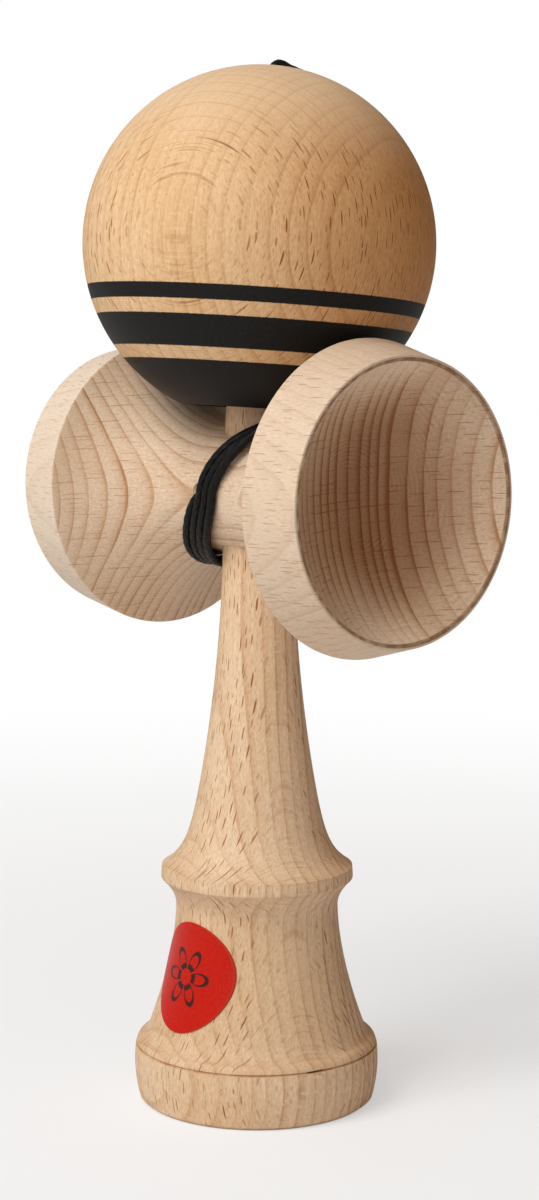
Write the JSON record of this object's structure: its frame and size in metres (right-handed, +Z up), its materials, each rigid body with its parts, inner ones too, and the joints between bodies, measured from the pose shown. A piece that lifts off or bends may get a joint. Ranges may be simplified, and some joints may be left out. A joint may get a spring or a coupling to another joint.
{
  "type": "kendama",
  "caption": "Wooden cup-and-ball skill toy: turned handle with spike and base cup, crosspiece with cups, and a bored ball with painted bands on a string wound round the neck.",
  "frame": {"origin": "centre of the handle's foot, on the surface it stands on", "axes": "+Z up the handle to the spike, +X along the crosspiece to the big cup, -Y to the side with the round sticker"},
  "size_m": [0.0739, 0.0619, 0.18],
  "materials": {
    "handle_wood": "satin",
    "crosspiece_wood": "satin",
    "ball_wood": "satin",
    "bead_wood": "satin",
    "sticker_film": "gloss",
    "string_braid": "matte"
  },
  "bodies": {
    "handle": {"handle": "handle_wood", "crosspiece": "crosspiece_wood", "round_sticker": "sticker_film", "string_anchor": "string_braid", "string_winding": "string_braid"},
    "bead": {"bead": "bead_wood", "string_tail": "string_braid", "string_free": "string_braid"},
    "ball": {"ball": "ball_wood"}
  },
  "joints": [
    {"name": "ball_lift", "type": "slide", "parent": "handle", "child": "bead", "axis": [0, 0, 1], "range_m": [0, 0.05], "deforming": ["string_free"]},
    {"name": "ball_spin", "type": "hinge", "parent": "bead", "child": "ball", "pos_m": [0, 0, 0.14866], "axis": [0, 0.075, 0.9972], "continuous": true}
  ]
}
